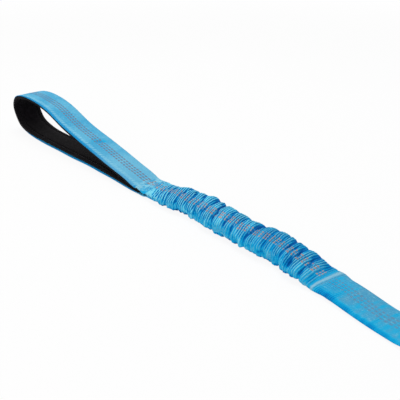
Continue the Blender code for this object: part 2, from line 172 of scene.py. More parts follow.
def webbing_colours(tree, painted_highlight, bright, tracer, dashes, dash_ends, edges):
    """Sky-blue yarn with three dashed tracer yarns, and the loops at its edges where these show.

    The map cloth gives the way along the webbing and the way across from its middle, in metres. The
    point attribute read here holds painted shade: 1 deep in the gathers, and below 0 for a painted highlight
    on crests and where a seam presses the cloth. On the strap it also holds some tone that differs at
    random.
    """
    cloth = add(tree, "UVMap", uv_map="cloth")
    cloth = add(tree, "VectorMath", (cloth, (1000, 1000, 0)), operation="MULTIPLY")
    along, across = (add(tree, "SeparateXYZ", (cloth,), out=axis) for axis in "XY")
    painted_shade = add(tree, "Attribute", attribute_name="painted_shade", out="Fac")
    cloud, speck = noise(tree, 60.0, 3.0), noise(tree, 650.0, 2.0)

    # Each tracer yarn shows brown for nearly half of its pitch, then dives and leaves a darker gap
    # The brick's mortar is the ground between the dashes: across the webbing it is drawn 1.4 times finer
    finer = 1.4
    height = finer * tracer_spacing
    lanes = (cloth, (1.0, finer, 0.0), (0.0, height / 2, 0.0))
    lanes = add(tree, "VectorMath", lanes, operation="MULTIPLY_ADD")
    rows = {"Vector": lanes, "Scale": 1.0, "Row Height": height, "Mortar Smooth": 0.35, "Bias": 0.0}
    unbroken = {**rows, "Brick Width": 900.0, "Mortar Size": 0.85}
    lane = add(tree, "TexBrick", unbroken, out="Fac", offset=0.0)
    dashed = {**rows, "Brick Width": tracer_pitch, "Mortar Size": 0.92}
    dash = add(tree, "TexBrick", dashed, out="Fac", offset=0.0)
    beside = 1.5 * tracer_spacing
    middle = (add(tree, "Math", (across,), operation="ABSOLUTE"), beside + 0.05, beside - 0.05)

    layers = [
        (bright, 1.0, (cloud, 0.35, 0.68)),
        ("#2896CB", 0.35, (speck, 0.5, 0.75)),
        ("#82CEE6", 0.4, (speck, 0.45, 0.3)),
    ]
    if edges:
        # The picks turn back at the edge in loops, drawn 3.2 mm apart so that they show
        pitch = 3.2
        slanted = add(tree, "Math", (across, -0.6, along), operation="MULTIPLY_ADD")
        stroke, loop = (add(tree, "Math", (way, pitch, 0.0), operation="WRAP") for way in (slanted, along))
        place = add(tree, "TexCoord", out="Object")
        neck = add(tree, "MapRange", (add(tree, "SeparateXYZ", (place,), out="X"), -0.012, 0.012))
        rim = ((across, -8.4, -9.6), (across, -12.2, -11.4))
        layers += [
            (gathered_ground, 1.0, (cloud, 0.35, 0.68), (neck, 0.0, 1.0)),
            ("#A6DCEE", 0.5, (stroke, 1.4, 1.8), (stroke, pitch, 2.8), *rim),
            ("#1C8FC8", 0.9, (loop, 1.4, 1.7), (loop, pitch, 2.9), (across, -11.3, -12.0)),
            ("#1890CC", 0.95, (across, -12.3, -12.6)),
            ("#3FA6D4", 0.6, (across, 11.6, 12.4)),
        ]
    # Painted highlight where the painted shade is below 0: on the ribs' crests, on raised creases and on the
    # band's ridge, and at the neck in the gathers' paler highlight
    layers.append((painted_highlight, 0.95, (painted_shade, -0.05, -0.4)))
    if edges:
        layers.append((gathered_highlight, 0.95, (painted_shade, -0.05, -0.4), (neck, 0.3, 1.0)))
    # Painted shade: deep in a gather the light has met blue cloth several times, so it is darker and
    # stronger there, and the tracer yarns are lost. The same layers paint shade in the strap's wrinkles and
    # at its near edge, in the band's trough, in the loop's dent and on the tube's underside by the ground
    shown = (painted_shade, 0.6, 0.25)
    layers += [
        ("#1AB1DF", 0.8, (painted_shade, 0.0, 0.2)),
        ("#009ED5", 0.95, (painted_shade, 0.1, 0.4)),
        ("#0080C3", 0.95, (painted_shade, 0.35, 0.7)),
        ("#005BA6", 0.9, (painted_shade, 0.6, 1.1)),
        ("#3494C8", 0.5 * dashes, (lane, 0.7, 0.1), middle),
        (tracer, 0.9 * dashes, (dash, *dash_ends), middle, shown),
    ]
    # From the neck on, the loop's tracer yarns stand out in paler, plumper dashes, as on the gathers
    if edges:
        layers.append((gathered_tracer, 0.95, (dash, 0.85, 0.3), middle, shown, (neck, 0.0, 1.0)))
    return laid_over(tree, "#48A6D0", layers)


def webbing_relief(tree):
    """The picks, 2 mm apart here and 1 mm in the real cloth, so that they show."""
    cloth = add(tree, "UVMap", uv_map="cloth")
    picks = add(tree, "TexWave", {"Vector": cloth, "Scale": 157.0, "Distortion": 0.3}, out="Fac")
    return add(tree, "Math", (picks, 0.5, noise(tree, 900.0, 3.0)), operation="MULTIPLY_ADD")


def polyester_webbing(name, painted_highlight, bright, tracer="#7C686E", dashes=0.0, dash_ends=(0.7, 0.1), edges=False):
    """Woven polyester webbing: matt, with hardly a shine on its picks."""

    def colours(tree):
        return webbing_colours(tree, painted_highlight, bright, tracer, dashes, dash_ends, edges)

    return finished(name, skin(0.75, 0.06), colours, webbing_relief, strength=0.45, depth=0.00025)


def mottled(name, dark, light, grain, surface, strength=0.5, depth=0.0003):
    """A finish of two tones in a fine grain: its size in metres sets the grain and the relief."""

    def colours(tree):
        return laid_over(tree, dark, [(light, 1.0, (noise(tree, 0.3 / grain, 5.0), 0.35, 0.65))])

    def relief(tree):
        place = add(tree, "TexCoord", out="Object")
        return add(tree, "TexVoronoi", {"Vector": place, "Scale": 1 / grain})

    return finished(name, surface, colours, relief, strength, depth)


def nylon_canvas(name):
    """Heavy nylon canvas: black, a plain weave of yarns 0.9 mm apart with a dull shine on each crossing."""

    # A wave texture of scale 1 repeats every 0.31416 m
    scale = 0.31416 / 0.0009

    def weave(tree):
        cloth = add(tree, "UVMap", uv_map="cloth")
        yarns = {"Vector": cloth, "Scale": scale}
        ways = [add(tree, "TexWave", yarns, out="Fac", bands_direction=axis) for axis in "XY"]
        return add(tree, "Math", ways, operation="MULTIPLY")

    def colours(tree):
        tone = {0: noise(tree, 40.0, 4.0), 6: colour("#0F1012"), 7: colour("#1D1E21")}
        tone = add(tree, "Mix", tone, out=2, data_type="RGBA")
        # A painted highlight: the shine on each crossing, drawn as a lighter grey where the weave rises
        return add(tree, "Mix", {0: weave(tree), 6: tone, 7: colour("#282A2E")}, out=2, data_type="RGBA")

    return finished(name, skin(0.62, 0.3, 0.06), colours, weave, strength=0.6, depth=0.0003)


# Shapes, in millimetres


def ramp(value, start, stop):
    """0 up to the start and 1 from the stop on, with a smooth rise between them."""
    share = np.clip((value - start) / (stop - start), 0, 1)
    return share * share * (3 - 2 * share)


def hump(value, middle, width):
    """1 in the middle, with smooth sides that fall off over a width."""
    return np.exp(-(((value - middle) / width) ** 2))


def bent(share, power=tube_bend):
    """A sine or cosine bent by a power, which turns an ellipse into a rounded box."""
    return np.sign(share) * np.abs(share) ** power


def drift(x, y, size_x, size_y, seed):
    """Smooth chance from -1 to 1 that changes over a size along and a size across."""
    count = 97
    grid = np.random.default_rng(seed).uniform(-1, 1, (count, count))
    a, b = np.asarray(x) / size_x + 31.0, np.asarray(y) / size_y + 47.0
    i, j = np.floor(a).astype(int), np.floor(b).astype(int)
    s, t = ramp(a - i, 0, 1), ramp(b - j, 0, 1)
    corner = lambda m, n: grid[(i + m) % count, (j + n) % count]
    low = corner(0, 0) * (1 - s) + corner(1, 0) * s
    high = corner(0, 1) * (1 - s) + corner(1, 1) * s
    return low * (1 - t) + high * t


def way_along(line):
    """The way along a line up to each of its points."""
    return np.concatenate([[0], np.cumsum(np.linalg.norm(np.diff(line, axis=0), axis=1))])


def spread(line, step):
    """The points of a line, laid again at an even step."""
    way = way_along(line)
    count = max(int(way[-1] / step), 2)
    at = np.linspace(0, way[-1], count + 1)
    return np.stack([np.interp(at, way, column) for column in line.T], axis=1)


def inward(line):
    """The direction to the left of a line's run at each of its points, which leads into the loop."""
    run = np.gradient(line, axis=0)
    run /= np.linalg.norm(run, axis=1)[:, None]
    return np.stack([-run[:, 1], run[:, 0]], axis=1)


def turns(count):
    """Even turns round a section, in one row."""
    return 2 * math.pi * (np.arange(count)[None, :] + 0.5) / count


def flat_tube(turn, power):
    """A flat tube's section: the share of its half width and of its half height at each turn."""
    return bent(np.cos(turn), 2 / power), bent(np.sin(turn), 2 / power)


def flat_cloth(face_points, back_points, lap):
    """A flat cloth's section: the share of its half width, and how far each point lies to its inner face."""
    face = np.linspace(-1, 1, face_points)
    back = np.linspace(1, -1, back_points)
    share = np.concatenate([face, [lap], back, [-lap]])
    inner = np.concatenate([np.zeros(face_points), [0.5], np.ones(back_points), [0.5]])
    return share[None, :], inner[None, :]


def placed(name, data):
    """A new object in the scene."""
    made = bpy.data.objects.new(name, data)
    bpy.context.scene.collection.objects.link(made)
    return made


def smooth_piece(name, points, faces, material):
    """A new piece from points in millimetres."""
    mesh = bpy.data.meshes.new(name)
    mesh.from_pydata((points * MM).tolist(), [], faces)
    mesh.polygons.foreach_set("use_smooth", [True] * len(mesh.polygons))
    mesh.materials.append(material)
    return placed(name, mesh)


def cloth_piece(name, points, along, across, material, painted_shade=0.0):
    """A tube of cloth over rows of points, with the map of the cloth in metres."""
    rows, columns = points.shape[:2]
    own = np.arange(rows * columns).reshape(rows, columns)
    following = np.roll(own, -1, axis=1)
    quads = np.stack([own[:-1], following[:-1], following[1:], own[1:]], axis=-1).reshape(-1, 4)
    piece = smooth_piece(name, points.reshape(-1, 3), quads.tolist(), material)
    places = np.stack(np.broadcast_arrays(along, across), axis=-1).reshape(-1, 2) * MM
    piece.data.uv_layers.new(name="cloth").data.foreach_set("uv", places[quads.ravel()].ravel())
    # The painted shade and highlight at each point, which the material reads as a point attribute
    depth = np.broadcast_to(painted_shade, (rows, columns)).ravel().astype(np.float32)
    piece.data.attributes.new("painted_shade", "FLOAT", "POINT").data.foreach_set("value", depth)
    return piece


def close_ends(piece):
    """Closes the open first and last rows of a tube."""
    body = bmesh.new()
    body.from_mesh(piece.data)
    bmesh.ops.holes_fill(body, edges=[edge for edge in body.edges if edge.is_boundary])
    body.to_mesh(piece.data)
    body.free()
    return piece


# The gathered tube

course_step = 0.05
steps_x = np.arange(-60, 176, course_step)


def course(*knots):
    """A width or height along the toy, rounded off over 4 mm where one straight run turns into the next."""
    reach = 80
    line = np.pad(np.interp(steps_x, *zip(*knots)), reach // 2, mode="edge")
    line = np.convolve(line, np.ones(reach) / reach, mode="same")[reach // 2 : -reach // 2]
    return lambda x: np.interp(x, steps_x, line)


# The cloth's far and near edges from the middle line, and the top of the neck and of the tube
far_edge = course(
    *((-60, 12.5), (-30, 12.4), (-9, 12.2), (-3, 13.2), (2, 13.7), (8, 12.7), (15, 13.5), (20, 12.9)),
    *((24, 10.9), (28, 13.2), (32, 16.2), (37, 14.2), (44, 12.6), (50, 13.4), (58, 16.6), (64, 15.1)),
    *((72, 14.7), (79, 12.1), (86, 11.9), (94, 11.7), (101, 10.6), (106, 13.2), (112, 13.5), (118, 14.2)),
    *((130, 12.9), (137, 12.6), (144, 10.4), (152, 11.5), (160, 10.9), (165, 12.7)),
)
near_edge = course(
    *((-60, 12.5), (-12, 12.4), (-2, 12.0), (8, 12.5), (14, 13.0), (20, 13.4), (26, 12.4), (34, 12.5)),
    *((40, 11.8), (45, 10.3), (52, 9.2), (58, 10.2), (64, 9.5), (68, 12.7), (74, 12.2), (82, 12.7)),
    *((90, 11.7), (98, 12.0), (106, 12.9), (112, 14.0), (118, 13.1), (124, 11.8), (132, 9.8), (138, 11.5)),
    *((148, 15.0), (156, 15.1), (161, 14.7), (165, 13.6)),
)
tube_top = course(
    *((-60, 6.0), (-6, 6.0), (0, 6.5), (8, 7.0), (14, 7.8), (20, 9.4), (28, 11.4), (40, 12.9), (60, 13.4)),
    *((110, 13.2), (146, 12.9), (156, 10.0), (162, 6.6), (165, 4.4), (168, 4.0)),
)


def looseness(x):
    """0 at the sleeve's sewn ends and 1 between them."""
    return np.minimum(ramp(x, fold_axis, fold_axis + 24), ramp(x, sleeve_end, sleeve_end - 20))


def tube_size(x):
    """Mean half width and half height of the tube, and how far its middle lies off the toy's middle line."""
    far, near = far_edge(x), near_edge(x)
    return (far + near) / 2, (tube_top(x) + ground_cut * looseness(x)) / 2, (far - near) / 2


def tube_middle(x):
    """Height of the tube's middle over the ground."""
    return tube_size(x)[1] - ground_cut * looseness(x)


# The folds that part the gathers into puffs: where each lies on the near side, in the middle and on the
# far side, how deep it is and how wide
folds = (
    (23.5, 18.8, 15.0, 1.2, 1.5),
    (31.0, 27.8, 20.0, 0.9, 1.3),
    (40.7, 37.5, 34.0, 1.3, 1.5),
    (50.2, 48.0, 43.5, 1.2, 1.3),
    (60.0, 56.4, 51.8, 1.1, 1.3),
    (68.0, 66.0, 62.5, 1.4, 2.0),
    (79.8, 76.8, 71.0, 1.5, 1.4),
    (90.5, 88.6, 84.5, 1.2, 1.5),
    (97.5, 98.0, 97.0, 1.0, 1.3),
    (111.0, 111.0, 109.0, 1.6, 1.9),
    (126.0, 124.0, 120.5, 0.9, 1.3),
    (133.0, 131.6, 129.5, 0.8, 1.1),
    (141.0, 139.6, 136.7, 1.5, 1.8),
    (144.5, 143.8, 142.0, 0.8, 1.1),
    (148.5, 148.0, 146.5, 1.5, 1.6),
    (157.5, 157.0, 155.0, 1.1, 1.4),
    (164.0, 163.3, 162.5, 0.8, 1.2),
)


def fold_shape(x, y, q):
    """How deep the folds cut in at a place, and how much shade is painted in them."""
    depth = painted_shade = np.zeros_like(x + y)
    wander = 0.9 * drift(x, y, 5, 4, 9)
    for near_x, middle_x, far_x, deep, width in folds:
        beyond = far_x + (far_x - middle_x) * 0.2
        place = np.interp(q, (-1, -0.2, 0.8, 1), (near_x, middle_x, far_x, beyond))
        away = np.abs(x - place + wander) / (width * (0.85 + 0.5 * ramp(q, 0, 1)))
        uneven = deep * (1 + 0.45 * drift(np.full_like(y, near_x), y, 10, 7, 11))
        # Only the deepest folds notch the far edge
        level = 1 if deep > 1.4 else 1 - 0.6 * ramp(q, 0.65, 0.95)
        depth = np.maximum(depth, level * uneven * np.exp(-(away**1.5)))
        painted_shade = np.maximum(painted_shade, uneven * hump(away, 0, 1 / 1.05))
    return depth, painted_shade


# How far the ribs run back along the toy for each millimetre across, by places along it
rib_slant = (
    *((-6, 0.0), (12, 0.55), (30, 0.6), (42, 0.44), (78, 0.36)),
    *((92, 0.3), (126, 0.28), (140, 0.16), (150, 0.05), (160, 0.0)),
)

# How far apart the ribs are, and with that how many there are up to each step
rib_pitch = (
    *((-10, 2.4), (10, 2.3), (30, 2.1), (60, 1.9), (90, 1.85)),
    *((120, 1.75), (140, 1.65), (154, 1.45), (170, 1.3)),
)
rib_count = np.cumsum(course_step / np.interp(steps_x, *zip(*rib_pitch)))


def rib_phase(x, q, lift):
    """Ribs counted along the tube, with grooves at whole numbers. They slant less on its sides."""
    wide, tall, aside = tube_size(x)
    y = q * wide + aside - 0.4 * q * tall * (1 - np.maximum(lift, 0))
    wander = 0.3 * drift(x, y, 8, 11, 5) + 0.16 * drift(x, y, 3.1, 5, 6)
    start = np.interp(x + np.interp(x, *zip(*rib_slant)) * y, steps_x, rib_count)
    return start + wander * ramp(x, 2, 10)


def cloth_run(ribs):
    """The cloth's own length that a number of ribs takes up."""
    return cloth_per_rib * (ribs - 0.5)


def gather(x, q, lift):
    """How far in the cloth lies at x, for q from -1 near to 1 far, and the shade painted on it there, below
    0 for a painted highlight.

    lift is 1 on top of the tube, 0 at its sides and -1 underneath.
    """
    wide, _, aside = tube_size(x)
    y = q * wide + aside
    upper = ramp(lift, -0.3, 0.5)
    near = ramp(lift, 0.7, 0.05) * ramp(q, 0, -0.3)

    # The ribs start earlier on the far side, and the last of them are flatter
    onset = ramp(x + 0.75 * y, 5, 10)
    ribbed = onset * (1 - 0.5 * ramp(x, 156, 165))
    room = ramp(x, 7, 19) * ramp(x, sleeve_end + 2, sleeve_end - 6)

    depth, painted_shade = fold_shape(x, y, q)
    depth = 1.3 * depth * room * (0.6 + 0.4 * upper)
    painted_shade = painted_shade * room * (0.2 + 0.8 * upper) * (1 - 0.65 * near)

    # Each rib has its own depth, less inside the folds, on the near side and at the far edge
    phase = rib_phase(x, q, lift)
    number = np.round(phase)
    valley = (1 + np.cos(2 * np.pi * (phase - number))) / 2
    own_depth = 0.85 + 0.4 * drift(number, y, 3.0, 11, 8) + 0.4 * drift(number, y, 1.0, 9, 17)
    strength = ribbed * (0.4 + 0.6 * upper) * (1 - 0.6 * near) * (1 - 0.6 * np.clip(painted_shade, 0, 1))
    ribs = strength * own_depth * valley * (1 - 0.85 * ramp(q, 0.65, 0.95))

    # Puffs, and on the near side soft creases and a net of wrinkles that run round the tube
    round_way = y + 10 * (1 - lift)
    puff = 0.45 * drift(x, y, 9, 9, 12) + 0.9 * near * drift(x, round_way, 4.2, 6, 15)
    crease = drift(x + 0.12 * y, round_way, 2.6, 12, 13) + 0.8 * drift(x - 0.3 * y, round_way, 1.6, 4, 14)
    cells = drift(x + 0.6 * round_way, round_way - 0.6 * x, 2.2, 3.2, 18)
    net = hump(drift(x + 0.5 * round_way, round_way - 0.4 * x, 3.0, 3.6, 19), 0, 0.15)
    soft = ribbed * (0.15 + 0.85 * near)
    inset = ribs + depth + room * puff + 0.4 * soft * (crease + 0.6 * cells + 0.7 * net)

    # Painted shade in the grooves and folds, and a painted highlight on the ribs' crests
    crisp = np.interp(x, (12, 40, 55, 75, 105, 115, 145, 152), (2.3, 2.1, 1.7, 1.2, 1.1, 0.8, 0.85, 1.0))
    painted_highlight = np.interp(x, (50, 75, 110), (0.5, 0.4, 0.34)) * (1 - valley)
    groove = valley**1.5 * (1.15 * own_depth + 0.5 * painted_shade)
    tone = crisp * strength * (groove - painted_highlight) + np.interp(x, (40, 70), (0.6, 0.85)) * painted_shade
    # Painted shade in the near side's creases, puffs and net of wrinkles, and more of it towards the
    # sleeve's end
    shade = 0.3 * crease + 0.2 * puff + 0.18 * cells + 0.4 * net - 0.06
    tone += soft * (shade + np.interp(x, (60, 110, 150), (0, 0.08, 0.16)))
    # Tone that differs at random, and painted shade on the underside by the ground
    tone += onset * (0.12 * drift(x, y, 14, 9, 16) + 0.7 * ramp(lift, -0.3, -0.7))
    return inset, np.clip(tone, -0.4, 1.3)


# How far the middle tracer yarn lies from the cloth's middle line, as the tube is rolled to the near side
tracer_line = (
    *((-160, 0.2), (-145, 1.1), (-30, 1.1), (-10, 1.7), (-2, 0.6), (6, -0.2), (14, -0.7), (22, -1.0)),
    *((30, -2.9), (38, -4.0), (46, -5.0), (54, -6.4), (62, -6.7), (70, -6.0), (78, -4.6), (90, -4.0)),
    *((96, -4.1), (102, -5.2), (110, -4.3), (118, -3.9), (126, -3.4), (134, -3.8), (142, -3.1)),
    *((150, -2.2), (158, -0.9), (164, 0.6)),
)


def tracer_shift(x):
    return np.interp(x, *zip(*tracer_line))


# The hand loop


def crumple(x, y):
    """How far the creases of the sewn neck lift the cloth."""
    place = ramp(x, -12, -3) * ramp(x + 0.7 * y, 17, 8)
    fine = 0.4 * drift(x + y, y - x, 2.1, 2.5, 22) + 0.3 * drift(x - y, y + x, 1.2, 2.2, 24)
    return place * (0.7 * drift(x, y, 3.4, 3.6, 21) + fine)


def strand_drop(x, y):
    """How far the loop's upper strand sinks below its line by the neck, creases and all."""
    far_share = (1 + y / cloth_half) / 2
    tilt = np.interp(x, (-50, -40, -30, -20, -9, 2), (0, 0.3, 0.9, 1.0, 0.6, 0)) * far_share
    droop = (1 - far_share) * hump(x, 5, 5)
    return tilt + droop + 1.2 * hump(x, -9, 8) - crumple(x, y)


def catmull(points, steps):
    """A smooth curve through the points."""
    ends = np.vstack([points[0] * 2 - points[1], points, points[-1] * 2 - points[-2]])
    line = []
    for before, start, stop, after in zip(ends, ends[1:], ends[2:], ends[3:]):
        for t in np.arange(steps) / steps:
            bend = (before * 2 - start * 5 + stop * 4 - after) * t**2
            twist = (start * 3 - before - stop * 3 + after) * t**3
            line.append((start * 2 + (stop - before) * t + bend + twist) / 2)
    line.append(points[-1])
    return np.array(line)


# The outer line of the loop's cloth, from the neck over the top to the tip and back along the ground, in
# shares of the loop's length and height
top_shares = (
    *((0.172, 0.17), (0.345, 0.385), (0.517, 0.605), (0.670, 0.89)),
    *((0.800, 0.998), (0.900, 0.963), (0.970, 0.82), (0.999, 0.48)),
)
low_shares = ((0.958, 0.195), (0.890, 0.055), (0.790, 0.0), (0.600, 0.01), (0.300, 0.04), (0.050, 0.0))


def loop_line():
    """The loop's line from the neck to the neck, and the number of its point at the tip."""
    rise = loop_height - neck_height
    points = [(0, neck_height)]
    points += [(-x * loop_length, neck_height + z * rise) for x, z in top_shares]
    points += [(-x * loop_length, z * loop_height) for x, z in low_shares]
    points.append((0, 0))
    line = catmull(np.array(points, float), 24)
    line[:, 1] = np.maximum(line[:, 1], 0)
    return line, np.argmin(line[:, 0])


def loop_stations(coarse):
    """The loop's line on into the sleeve on both strands, closely spaced at the neck."""
    line, tip = loop_line()
    run = np.arange(loop_cloth_end, flat_end, -fine_row)
    top_x = run[run > 0]
    height = np.where(top_x > fold_axis, tube_middle(top_x) + tube_size(top_x)[1], neck_height)
    top = np.stack([top_x, height], axis=1)
    low = np.stack([top_x[::-1], np.zeros_like(top_x)], axis=1)
    strands = (line[: tip + 1], line[tip:])
    near_top, near_low = (spread(strand[strand[:, 0] > flat_end], fine_row) for strand in strands)
    far = spread(line[line[:, 0] <= flat_end], coarse)
    joined = np.vstack([top, near_top, far, near_low, low])
    apart = np.linalg.norm(np.diff(joined, axis=0), axis=1) > fine_row * 0.4
    joined = joined[np.concatenate([[True], apart])]
    return joined, np.arange(len(joined)) <= np.argmin(joined[:, 0])


def make_loop_cloth(material):
    """The webbing of the hand loop, which closes into a tube at the neck and starts to gather."""
    line, upper = loop_stations(1.0)
    into = inward(line)
    x, z = line[:, :1], line[:, 1:]
    on_top = upper[:, None]
    up = np.where(on_top, 1.0, -1.0)
    share, inner = flat_cloth(51, 17, 1.02)
    wide, tall, aside = tube_size(x)

    # Flat webbing: the upper strand tilts to the far side near the neck, and the lower one is drawn in
    drawn = np.where(on_top, 0.0, ramp(x, -60, -30) * ramp(x, 12, 2))
    y_flat = share * (wide - 0.5 * drawn) + aside + 0.5 * drawn
    ripple = 0.3 * drift(x, y_flat, 25, 9, 31) * ramp(x, -4, -24)
    set_in = cloth_thick * inner + ripple
    x_flat = x + into[:, :1] * set_in
    z_flat = z + into[:, 1:] * set_in - np.where(on_top, strand_drop(x, y_flat), 0)

    # The tube closes first on the far side
    swing = np.sin(np.clip(share, -1, 1) * math.pi / 2)
    closing = ramp(x + 7.25 * swing, -6.25, 5.75)
    lift = np.sqrt(np.maximum(1 - swing * swing, 0))
    q = bent(swing)
    gathered = ramp(x, 1, 6)
    inset, painted_shade = gather(x, q, lift * up)
    inset = inset * gathered
    y_tube = (wide - cloth_thick * inner - inset) * q + aside
    z_tube = tube_middle(x) + up * (tall - cloth_thick * inner - inset) * bent(lift)
    y = y_flat + (y_tube - y_flat) * closing
    creases = on_top * crumple(x, y)
    z_all = z_flat + (z_tube + creases - z_flat) * closing
    x_all = x_flat + (x - x_flat) * closing

    # One small dent in the upper strand
    pucker = hump(x - 0.4 * (y - 2), -77, 2.6) * hump(y, 2, 5) * on_top
    z_all = np.maximum(z_all - 1.1 * pucker, 0)
    points = np.stack([x_all, y, z_all], axis=-1)

    # The map runs evenly along the flat strands and by the ribs over the gathers
    way = way_along(line)[:, None]
    at_seam = way[np.argmin(np.abs(line[:, 0] - flat_end) + 1000 * ~upper)]
    flat_way = cloth_run(np.interp(flat_end, steps_x, rib_count)) - (way - at_seam)
    on_ribs = cloth_run(rib_phase(x, q, lift * up))
    along = flat_way + (on_ribs - flat_way) * ramp(x, flat_end, flat_end + 12) * on_top
    neck = ramp(x, -12, -4) * ramp(x, 20, 12)
    rolled = tracer_shift(x) * np.where(on_top, 1, 1 - 2 * ramp(x, 0, 20))
    across = y + inset * q * closing - aside - rolled + neck * 1.3 * drift(x, y, 3.5, 4.5, 23)

    # Painted light on the upper strand: a painted highlight where it is lit before the neck and on the tops
    # of the creases, painted shade in the creases' dips and in the dent, and a little lighter at the neck
    lit = on_top * ramp(x, -100, -30) * ramp(x, 8, -2)
    painted_shade = painted_shade * gathered - 0.14 * neck - 0.6 * creases - 0.2 * lit + 0.5 * pucker
    piece = cloth_piece("hand_loop_webbing", points, along, across, material, painted_shade)
    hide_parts("handle_webbing")
    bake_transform(piece)
    return piece


# The foam pad's inner face from its rim to its middle: the place across, and the share of its thickness,
# which its seam draws in
pad_face = (
    *((11.95, 0.78), (11.5, 0.93), (10.6, 1.0), (9.8, 1.0), (9.2, 0.95), (8.85, 0.78), (8.5, 0.62)),
    *((8.15, 0.78), (7.8, 0.93), (7.0, 0.98), (5.5, 1.0), (3.5, 1.0), (1.5, 1.0)),
)


def pad_section():
    """The pad's section: the place across, and the share of its thickness."""
    side, rise = np.array(pad_face).T
    rim = np.array([pad_half, pad_half])
    y = np.concatenate([-rim, -side, side[::-1], rim, [11.6, 6, 0, -6, -11.6]])
    d = np.concatenate([[0.2, 0.55], rise, rise[::-1], [0.55, 0.2], np.zeros(5)])
    return y[None, :], d[None, :]


def pad_between_strands(cloth, y, d):
    """The pad's near rim, which runs on between the strands as far as these stay open."""
    surface = surface_of(cloth)
    upper_rows, lower_rows = [], []
    for x in np.arange(-1.0, 7.1, 1.0):
        strip = -11.9 + 0.06 * x + (y + pad_half) * np.interp(x, (-2, 0, 7), (0.9, 0.35, 0.1))
        above, below = (np.array([over_cloth(surface, x, b, 3.0, side) for b in strip]) for side in (1, -1))
        room = np.clip((above - below) / 2 - 0.1, 0.1, 0.9)
        for rows, z in ((upper_rows, above - 0.1 - room * d), (lower_rows, below + 0.1 + room * d)):
            rows.append(np.stack([np.full_like(strip, x), strip, z], axis=-1))
    return upper_rows[::-1], lower_rows


def make_pad(cloth, material):
    """The foam lining of the loop, with a rounded rim outside its sewn groove."""
    outer, tip = loop_line()
    upper, lower = outer[: tip + 1], outer[tip:]
    line = spread(outer, 0.9)
    keep = line[:, 0] <= -2.0
    line, into = line[keep], inward(line)[keep]
    x = line[:, :1]
    on_top = (np.arange(len(line)) < np.argmin(line[:, 0]))[:, None]
    y, d = pad_section()

    # The pad thins where the strands come together, and narrows where they close on the far side
    taken = 2 * (cloth_thick + pad_gap) + pad_gap
    drop = strand_drop(x, y) * ramp(x, -100, -60)
    gap = np.interp(x, upper[::-1, 0], upper[::-1, 1]) - np.interp(x, lower[:, 0], lower[:, 1]) - drop
    thick = np.clip(np.where(x < -loop_length / 2, 20, (gap - taken) / 2), 0.1, pad_thick)
    # Round the tip the pad's rim rolls over the webbing's edge
    rolled = ramp(x, -150, -195) * (np.abs(y) > 11.8)
    y = y + np.sign(y) * 0.7 * rolled
    wave = 0.12 * drift(x, y, 12, 8, 51) * (d > 0.5) * np.minimum(thick / pad_thick, 1)
    depth = cloth_thick + pad_gap + thick * d - 1.35 * rolled * (d < 0.3) + wave
    z = line[:, 1:] + into[:, 1:] * depth - drop * on_top
    y = np.where(y > 0, y * (1 - 0.16 * ramp(x, -16, -7)), y)
    points = np.stack([x + into[:, :1] * depth, y, z], axis=-1)

    upper_rows, lower_rows = pad_between_strands(cloth, y[0], d[0])
    points = np.concatenate([upper_rows, points, lower_rows])
    way = way_along(points.mean(axis=1))[:, None]
    piece = close_ends(cloth_piece("loop_pad", points, way, points[:, :, 1], material))
    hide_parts("handle_pad")
    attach(piece, "handle")
    return line, into, thick.min(axis=1)


def surface_of(piece):
    """A piece's faces, to find where a line meets them."""
    mesh = piece.data
    return BVHTree.FromPolygons([v.co for v in mesh.vertices], [f.vertices for f in mesh.polygons])


def over_cloth(surface, x, y, z, side):
    """The height at which the cloth is met from a height z, upwards for side 1 and downwards for -1."""
    hit = surface.ray_cast(Vector((x, y, z)) * MM, Vector((0, 0, side)))[0]
    return hit.z / MM if hit else z + side


# A stitch from end to end: the share of its half length, and how high and how thick it is in radii
stitch_shape = (
    *((-1.0, -1.0, 0.35), (-0.82, -0.25, 0.8), (-0.4, 0.25, 1.0)),
    *((0.4, 0.25, 1.0), (0.82, -0.25, 0.8), (1.0, -1.0, 0.35)),
)

# How long the stitches are, and their thread's radius
pad_stitch = (2.4, 0.3)
tack_stitch = (1.7, 0.17)
bite_stitch = (2.3, 0.3)


def stitches(name, centres, runs, ups, length, radius, material):
    """A row of short round stitches that dip into the cloth at both ends."""
    sides = 6
    turn = 2 * math.pi * np.arange(sides) / sides
    vertices, faces = [], []
    for centre, run, up in zip(centres, runs, ups):
        run = run / np.linalg.norm(run)
        up = up / np.linalg.norm(up)
        side = np.cross(run, up)
        first = len(vertices)
        for along, high, girth in stitch_shape:
            offset = run * along * length / 2 + up * high * radius
            for a in turn:
                vertices.append(centre + offset + (side * math.cos(a) + up * math.sin(a)) * radius * girth)
        rings = [[first + i * sides + j for j in range(sides)] for i in range(len(stitch_shape))]
        for ring, after in zip(rings, rings[1:]):
            for j in range(sides):
                k = (j + 1) % sides
                faces.append((ring[j], ring[k], after[k], after[j]))
        faces += [tuple(rings[0][::-1]), tuple(rings[-1])]
    return smooth_piece(name, np.array(vertices), faces, material)


def make_pad_seams(line, into, thick, material):
    """Two rows of stitches in the pad's grooves."""
    way = way_along(line)
    pitch = 3.2
    roomy = np.flatnonzero(thick >= pad_thick - 0.01)
    at = np.arange(way[roomy[0]] + 2, way[roomy[-1]] - 2, pitch)
    x, z, nx, nz = (np.interp(at, way, column) for column in (*line.T, *into.T))
    depth = cloth_thick + pad_gap + pad_thick * 0.66
    ups = np.stack([nx, 0 * nx, nz], axis=1)
    runs = np.stack([nz, 0 * nx, -nx], axis=1)
    for name, side in (("left", 1), ("right", -1)):
        centres = np.stack([x + nx * depth, np.full_like(x, side * pad_groove), z + nz * depth], axis=1)
        piece = stitches("pad_stitches_" + name, centres, runs, ups, *pad_stitch, material)
        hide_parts("pad_seam_" + name)
        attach(piece, "handle")


